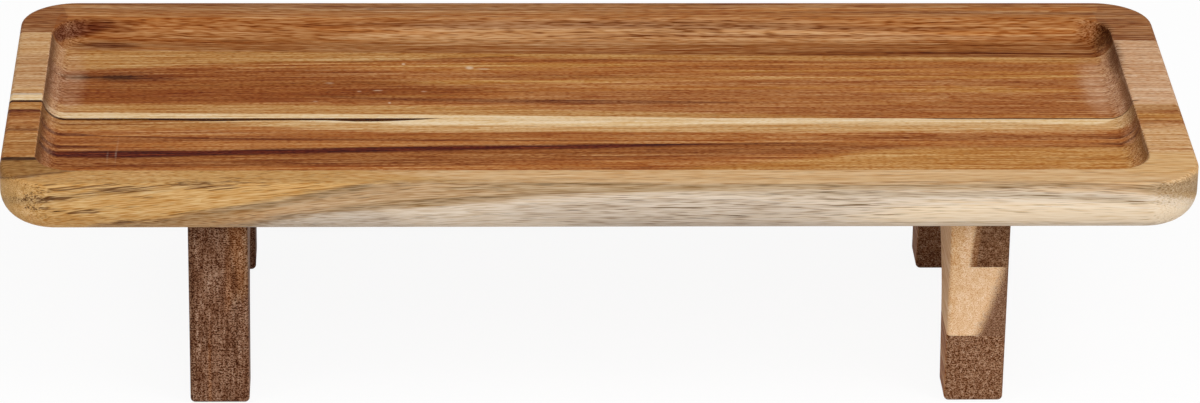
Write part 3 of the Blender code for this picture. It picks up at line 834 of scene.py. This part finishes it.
# %% Front stave
ROUND_THE_EDGE = ((0, 0.35, 1), -30, 14)
FLECKS = [(-230, -6.8, 11, 2.2), (-201, -2.8, 22, 2), (-166, -0.6, 20, 1.6), (-231, -10.5, 6, 1.2),
          (-211, -12.5, 8, 1.2), (-196, -17.2, 10, 1.4)]
DASHES = [(178, -4.8, 38, 3), (221, -7.8, 15, 2), (105, -8.4, 36, 4.5), (40, -10.5, 34, 5),
          (28, -15.6, 40, 4.4), (100, -14, 26, 3)]
WOODS["front_stave"] = acacia(
    "acacia, golden heartwood running out into grey sapwood",
    Figure("X", 1.0, ALONG_TRAY, ROUND_THE_EDGE, [(-250, -17), (-200, -12), (-150, -7), (-100, -3.2),
                                                  (-50, -1), (0, 0), (50, 0.8), (120, 0.8), (250, -1)]),
    FROM_FRONT, ("gold", "gold", "straw"), [
        Band("oat", 1, 0.7, [(-130, 9, 8), (-60, 1.4, 14), (0, 0, 14), (100, -1.5, 14), (250, -2, 14)]),
        Band("straw", 1, 0.8, [(214, 8, 6), (226, 3, 14), (250, 3, 14)]),
        Band("amber", 2, 0.3, [(-250, 0, 14), (-100, 0, 14), (-60, 8, 6)]),
        Band("ochre", 1.0, 0.85, [
            (-250, 1.8, 14), (-235, 3.2, 14), (-215, 5.6, 14), (-190, 9.1, 14), (-165, 13, 10)]),
        Band("bark", 0.4, 0.6, [
            (-250, 1.4, 2.2), (-235, 2.8, 3.7), (-215, 5.2, 6), (-195, 8, 8.7), (-170, 12, 11.8)]),
        Band("ebony", 0.4, 0.9, [(-250, 9, 14), (-238, 9, 14), (-230, 9.5, 14), (-222, 11.2, 10.8)]),
        Band("moss", 1.5, 0.35, [
            (-250, -10, -7), (-222, -7, -4), (-200, -4, -1.6), (-180, -2, 0), (-150, 1, 0)]),
        Band("tan", 1, 0.9, [
            (-218, -24, -21), (-205, -26, -17.5), (-185, -26, -16), (-170, -24, -13), (-150, -19, -9.5),
            (-130, -15, -6), (-110, -12, -2.5), (-95, -10.5, 0), (-60, -8, 0.8), (-20, -4.5, 0.8),
            (0, -3.2, 0.8), (80, -1.5, 0.6), (200, -2.4, 0.4), (250, -5, 0)]),
        Band("moss", 1.3, 0.55, [
            (-218, -20, -21), (-205, -19.5, -17.5), (-185, -19, -16), (-170, -17, -13),
            (-150, -13.5, -9.5), (-130, -9, -6), (-110, -5, -2.5), (-95, -2.4, -0.6), (-80, -1.2, -1)]),
        Band("amber", 2, 0.3, [
            (-230, -26, -14), (-190, -26, -14), (-150, -22, -12), (-120, -14, -10), (-100, -10, -12)]),
        Band("ash", 2.0, 0.95, [
            (-175, -30, -26), (-150, -30, -19.5), (-120, -30, -13.5), (-100, -30, -11.5),
            (-60, -30, -8.5), (-20, -30, -5), (0, -30, -3.8), (40, -30, -2.4), (80, -30, -1.8),
            (140, -30, -2), (200, -30, -2.8), (232, -30, -5), (250, -30, -8)]),
        Band("slate", 3, 0.4, [
            (-180, -30, -24), (-150, -30, -18), (-110, -30, -11), (-85, -30, -17), (-70, -30, -27)]),
        Band("slate", 3, 0.4, [
            (-50, -12, -12.5), (-20, -17, -9), (20, -19, -7), (60, -17, -8), (85, -14, -10),
            (105, -12, -13)]),
        Band("moss", 1.4, 0.6, [
            (-160, -22, -22), (-145, -19.2, -17.2), (-120, -13.8, -11.8), (-100, -12, -9.6),
            (-60, -9, -6.4), (-20, -5.4, -3.2), (0, -4.2, -2), (30, -3.2, -1.8), (70, -2, -2.4)]),
        Band("ivory", 4, 0.8, [
            (60, -30, -27), (110, -30, -15), (130, -30, -10), (160, -30, -8), (220, -30, -7.5),
            (250, -30, -10)]),
        Band("olive", 0.8, 0.6, [
            (-75, -2, -2.4), (-40, -3.4, -0.8), (20, -2.8, -0.9), (60, -2.8, -0.3), (110, -2.5, -0.4),
            (160, -2.3, -0.6), (190, -1.6, -1.2)]),
        Band("olive", 1.2, 0.6, [(218, -2, -1.6), (228, -4.6, -0.2), (238, -6.4, 1.2), (250, -7, 3.5)]),
        Band("moss", 0.4, 0.6, [
            (-70, -0.2, -0.3), (-20, -0.8, 0.1), (60, -1, 0), (130, -1, -0.2), (190, -0.9, -0.2),
            (216, -0.5, -0.6)]),
        # painted shade: a grey band along the bottom of the face, where the fillet turns under
        Band("slate", 1.2, 0.5, [(-40, -30, -28), (10, -30, -17.2), (130, -30, -17.6), (250, -30, -18)]),
        Band("olive", 0.9, 0.5, [
            (40, -4.4, -4), (100, -5.6, -3.2), (150, -5.6, -3.2), (180, -6.4, -3.8), (215, -8.5, -5.8),
            (236, -9, -9.4)]),
    ], [
        *(Patch("bark", 0.75, *fleck, turn=0.02, rough=4.0) for fleck in FLECKS),
        *(Patch("moss", 0.65, *dash, turn=0.02, broken=5.0) for dash in DASHES),
    ],
    seed=4, feather=3.0, fine=(40, 0.4, 0.4), speck=(9, 0.35, 0.35), pore=(14, 0.4), streak=0.14,
    lines=0.24, dust=0.36, growth=(0.1, 120, 6), pores=0.55, end_grain_and_shade=(0.2, 0.2), raw=0.0)
print("made", WOODS["front_stave"].name)

# %% [markdown]
# ### The legs
# The grain of the laminations runs from front to back, so the leg's front shows end grain: dense
# speckle instead of streaks. On the right leg two laminations were cut across the edge of the heart,
# and pale sapwood meets dark heartwood inside one piece. Here the stations give a height, and then
# the two edges from the leg's middle plane.

# %% Leg woods
UPRIGHT = Figure("Y", 8.0, ((0, 0, 1), 0, 90), ((1, 0, 0), -20, 20), [(0, 0), (90, 0)])
LEVEL = UPRIGHT._replace(sheet=1.2)
LEFT, RIGHT = (-LEG_CENTRE, 0.0, 0.0), (LEG_CENTRE, 0.0, 0.0)
HEART_END = dict(end_grain_and_shade=(0.0, 0.0), streak=0.3, lines=0.35, dust=0.75, fine=(20, 1.2, 0.4),
                 speck=(20, 0.5, 0.4), pores=0.0, growth=(0.0, 230, 14), dull=0.0, raw=0.0, wander=0.3)
SAP_END = dict(HEART_END, streak=0.2, lines=0.25, dust=0.55)
WOODS["left_leg"] = acacia(
    "acacia, dark heartwood end grain", UPRIGHT, LEFT, ("bark", "cocoa", "cocoa"), [
        Band("clay", 3, 0.6, [(45, 6, 5), (62, 5, 18), (90, 4, 18)]),
        Band("walnut", 1.5, 0.3, [(40, 3, 2), (55, 3, 9), (75, 4, 11), (90, 5, 11)]),
        Band("bark", 1.2, 0.6, [(10, 6.5, 6), (35, 5.5, 8.5), (60, 5, 7.5), (80, 3.5, 4)]),
        Band("bark", 1.5, 0.5, [(0, -13, -10), (45, -13, -9.5), (90, -13, -8.5)]),
        Band("russet", 0.6, 0.3, [(0, -4.6, -3.6), (20, -4.6, -3.8), (45, -3.4, -4)])], seed=5, **HEART_END)
WOODS["right_leg_rail"] = acacia(
    "acacia, sapwood beside dark heart", LEVEL, RIGHT, ("beech", "beech"), [
        Band("biscuit", 3, 0.8, [(60, -20, -9), (90, -20, -6)]),
        Band("clay", 1.0, 0.95, [(60, -4, 20), (70, -3.4, 20), (80, -2.4, 20), (90, -1.8, 20)]),
        Band("bark", 0.8, 0.7, [(60, -1.6, 20), (80, 0, 20), (90, 0.6, 20)])], seed=6, **SAP_END)
WOODS["right_leg_post"] = acacia(
    "acacia, sapwood with a slip of heart", LEVEL, RIGHT, ("beech", "beech"), [
        Band("biscuit", 3, 0.6, [(30, -20, -13), (62, -20, -7)]),
        Band("cocoa", 3.0, 0.95, [(30, -0.2, 20), (40, 3.4, 20), (50, 6.9, 20), (63, 10.4, 20)])],
    seed=7, **SAP_END)
WOODS["right_leg_foot"] = acacia(
    "acacia, brown heartwood end grain", LEVEL, RIGHT, ("nut", "nut"), [
        Band("chestnut", 0.3, 0.6, [(0, -20, -12.2), (45, -20, -12.2)])], seed=8, **HEART_END)
print(len(WOODS), "woods")

# %% [markdown]
# ### The dowels
# Fluted beech dowels hold the legs to the board. They are hidden in their holes, and their solids
# already have the flutes and chamfers, so the CAD nodes stay and only get their wood.

# %% Dowel wood
# turned beech: pale, even and almost without figure
dowel_wood = acacia("beech, turned and fluted", UPRIGHT._replace(grain="Z"),
                    (0.0, 0.0, 0.0), ("straw", "beech", "cream"), seed=9, streak=0.1, pores=0.2)
for name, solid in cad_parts.items():
    if name.endswith("_dowel"):
        solid.data.materials.clear()
        solid.data.materials.append(dowel_wood)
print("dowels:", [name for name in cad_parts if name.endswith("_dowel")])

# %% [markdown]
# ## Dressing the frame
# Every new piece rides on the tray's one body, stands for its own CAD node, which is hidden, and
# takes its wood in a material slot.

# %% Ride, replace, slot
for name, piece in pieces.items():
    solid = name.removesuffix("_grained")
    wood = solid
    if solid.startswith("left_leg"):
        wood = "left_leg"
    elif solid.startswith("right_leg"):
        wood = "right_leg_" + solid.rsplit("_", 1)[1]
    piece.data.materials.append(WOODS[wood])
    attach(piece, "root")
    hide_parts(solid)
print(len(pieces), "pieces replace their solids")

# %% [markdown]
# ## Camera
# The camera stands where the photograph's did: two metres in front of the tray, looking down by
# about 24 degrees through a long lens. Its turn is made of three plain rotations, applied from the
# right: roll about the view, then tilt, then pan.

# %% Camera
camera = bpy.data.objects.new("camera", bpy.data.cameras.new("camera"))
bpy.context.scene.collection.objects.link(camera)
camera.data.sensor_width, camera.data.lens = 36.0, 164.62
STAND = (-0.0918, -2.1667, 1.0317)
PAN, LOOK_DOWN, ROLL = math.radians(2.505), math.radians(24.166), math.radians(0.943)
camera.matrix_world = (Matrix.Translation(STAND) @ Matrix.Rotation(-PAN, 4, "Z")
                       @ Matrix.Rotation(math.pi / 2 - LOOK_DOWN, 4, "X") @ Matrix.Rotation(ROLL, 4, "Z"))
bpy.context.scene.camera = camera
print("camera at", tuple(round(value, 3) for value in camera.matrix_world.translation))

# %% [markdown]
# ## Room and floor
# An even white room fills the shadows. It has two strengths: one that lights the tray, and a whiter
# one that only the camera and reflections see. The floor is white to the camera in the same way, yet
# it still takes a faint shadow: most of what is seen of it is a white glow, and the rest is a white
# diffuse surface.

# %% Room
ROOM_LIGHT = 0.34
scene = bpy.context.scene
scene.view_settings.view_transform = "Standard"
room = bpy.data.worlds.new("white room")
scene.world = room
room.use_nodes = True
room.node_tree.nodes.clear()


def seen(tree):
    """1 for rays that come straight from the camera, a mirror or glass, and 0 for the light's own."""
    rays = node(tree, "ShaderNodeLightPath").node.outputs
    either = node(tree, "ShaderNodeMath", {0: rays["Is Camera Ray"], 1: rays["Is Glossy Ray"]},
                  operation="MAXIMUM")
    return node(tree, "ShaderNodeMath", {0: either, 1: rays["Is Transmission Ray"]}, operation="MAXIMUM")


air = room.node_tree
fill = node(air, "ShaderNodeBackground", {"Color": (1, 1, 1, 1), "Strength": ROOM_LIGHT})
white = node(air, "ShaderNodeBackground", {"Color": (1, 1, 1, 1), "Strength": 1.0})
both = node(air, "ShaderNodeMixShader", {0: seen(air), 1: fill, 2: white})
node(air, "ShaderNodeOutputWorld", {"Surface": both})
print("room lights with strength", ROOM_LIGHT)

# %% Floor
PAPER_WHITE, GLOW, FLOOR_REACH = 0.92, 0.92, 30.0
# studio paper: pressed and uncoated, so it is matt and shows no reflection
paper = bpy.data.materials.new("matt white paper sweep")
paper.use_nodes = True
paper.node_tree.nodes.clear()
pulp = paper.node_tree
sheet = node(pulp, "ShaderNodeBsdfDiffuse", {"Color": (*(PAPER_WHITE,) * 3, 1)})
glow = node(pulp, "ShaderNodeEmission", {"Color": (1, 1, 1, 1), "Strength": 1.0})
share = node(pulp, "ShaderNodeMath", {0: seen(pulp), 1: GLOW}, operation="MULTIPLY")
both = node(pulp, "ShaderNodeMixShader", {0: share, 1: sheet, 2: glow})
node(pulp, "ShaderNodeOutputMaterial", {"Surface": both})
floor_mesh = bpy.data.meshes.new("floor")
floor_mesh.from_pydata([(-FLOOR_REACH, -FLOOR_REACH, 0), (FLOOR_REACH, -FLOOR_REACH, 0),
                        (FLOOR_REACH, FLOOR_REACH, 0), (-FLOOR_REACH, FLOOR_REACH, 0)], [], [(0, 1, 2, 3)])
floor_mesh.materials.append(paper)
floor = bpy.data.objects.new("floor", floor_mesh)
scene.collection.objects.link(floor)
print("floor", 2 * FLOOR_REACH, "m wide")

# %% [markdown]
# ## Lamps
# Soft boxes stand at both sides and in front, the right one the strongest. They are about a metre
# wide, so that shadows have no hard edge, and each is turned to face the tray.

# %% Lamps
LOOK_AT = Vector((0, 0, 0.1))
for name, watts, side, place in (("right_box", 23.5, 1.1, (1.3, -0.9, 1.75)),
                                 ("left_box", 11.5, 1.1, (-1.3, -0.9, 1.75)),
                                 ("front_box", 20.0, 1.0, (0.0, -2.0, 1.4))):
    lamp = bpy.data.objects.new(name, bpy.data.lights.new(name, "AREA"))
    lamp.data.energy, lamp.data.size = watts, side
    lamp.location = place
    lamp.rotation_euler = (LOOK_AT - lamp.location).to_track_quat("-Z", "Y").to_euler()
    scene.collection.objects.link(lamp)
    print(name, watts, "W at", place)
